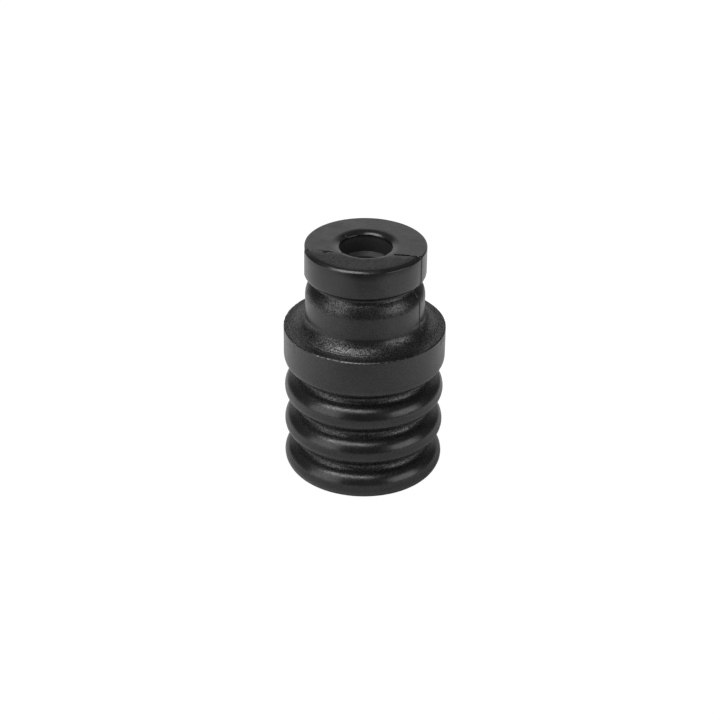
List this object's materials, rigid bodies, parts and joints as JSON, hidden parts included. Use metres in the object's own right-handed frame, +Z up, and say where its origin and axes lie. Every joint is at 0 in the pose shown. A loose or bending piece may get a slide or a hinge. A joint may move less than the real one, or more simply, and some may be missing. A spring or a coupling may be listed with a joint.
{
  "type": "helper spring",
  "caption": "Moulded black elastomer helper spring (bump stop) for a damper rod: bored bellows body with rounded rings, a wide flange, a neck and a snap-in top collar.",
  "frame": {"origin": "centre of the flat foot, on the surface the spring stands on", "axes": "+Z up the bore axis towards the collar; the body is round about it, and the parting line crosses near -Y"},
  "size_m": [0.0476, 0.0476, 0.0727],
  "materials": {
    "elastomer": "satin black microcellular polyurethane, as moulded"
  },
  "bodies": {
    "root": {"helper_spring": "elastomer"}
  },
  "joints": []
}
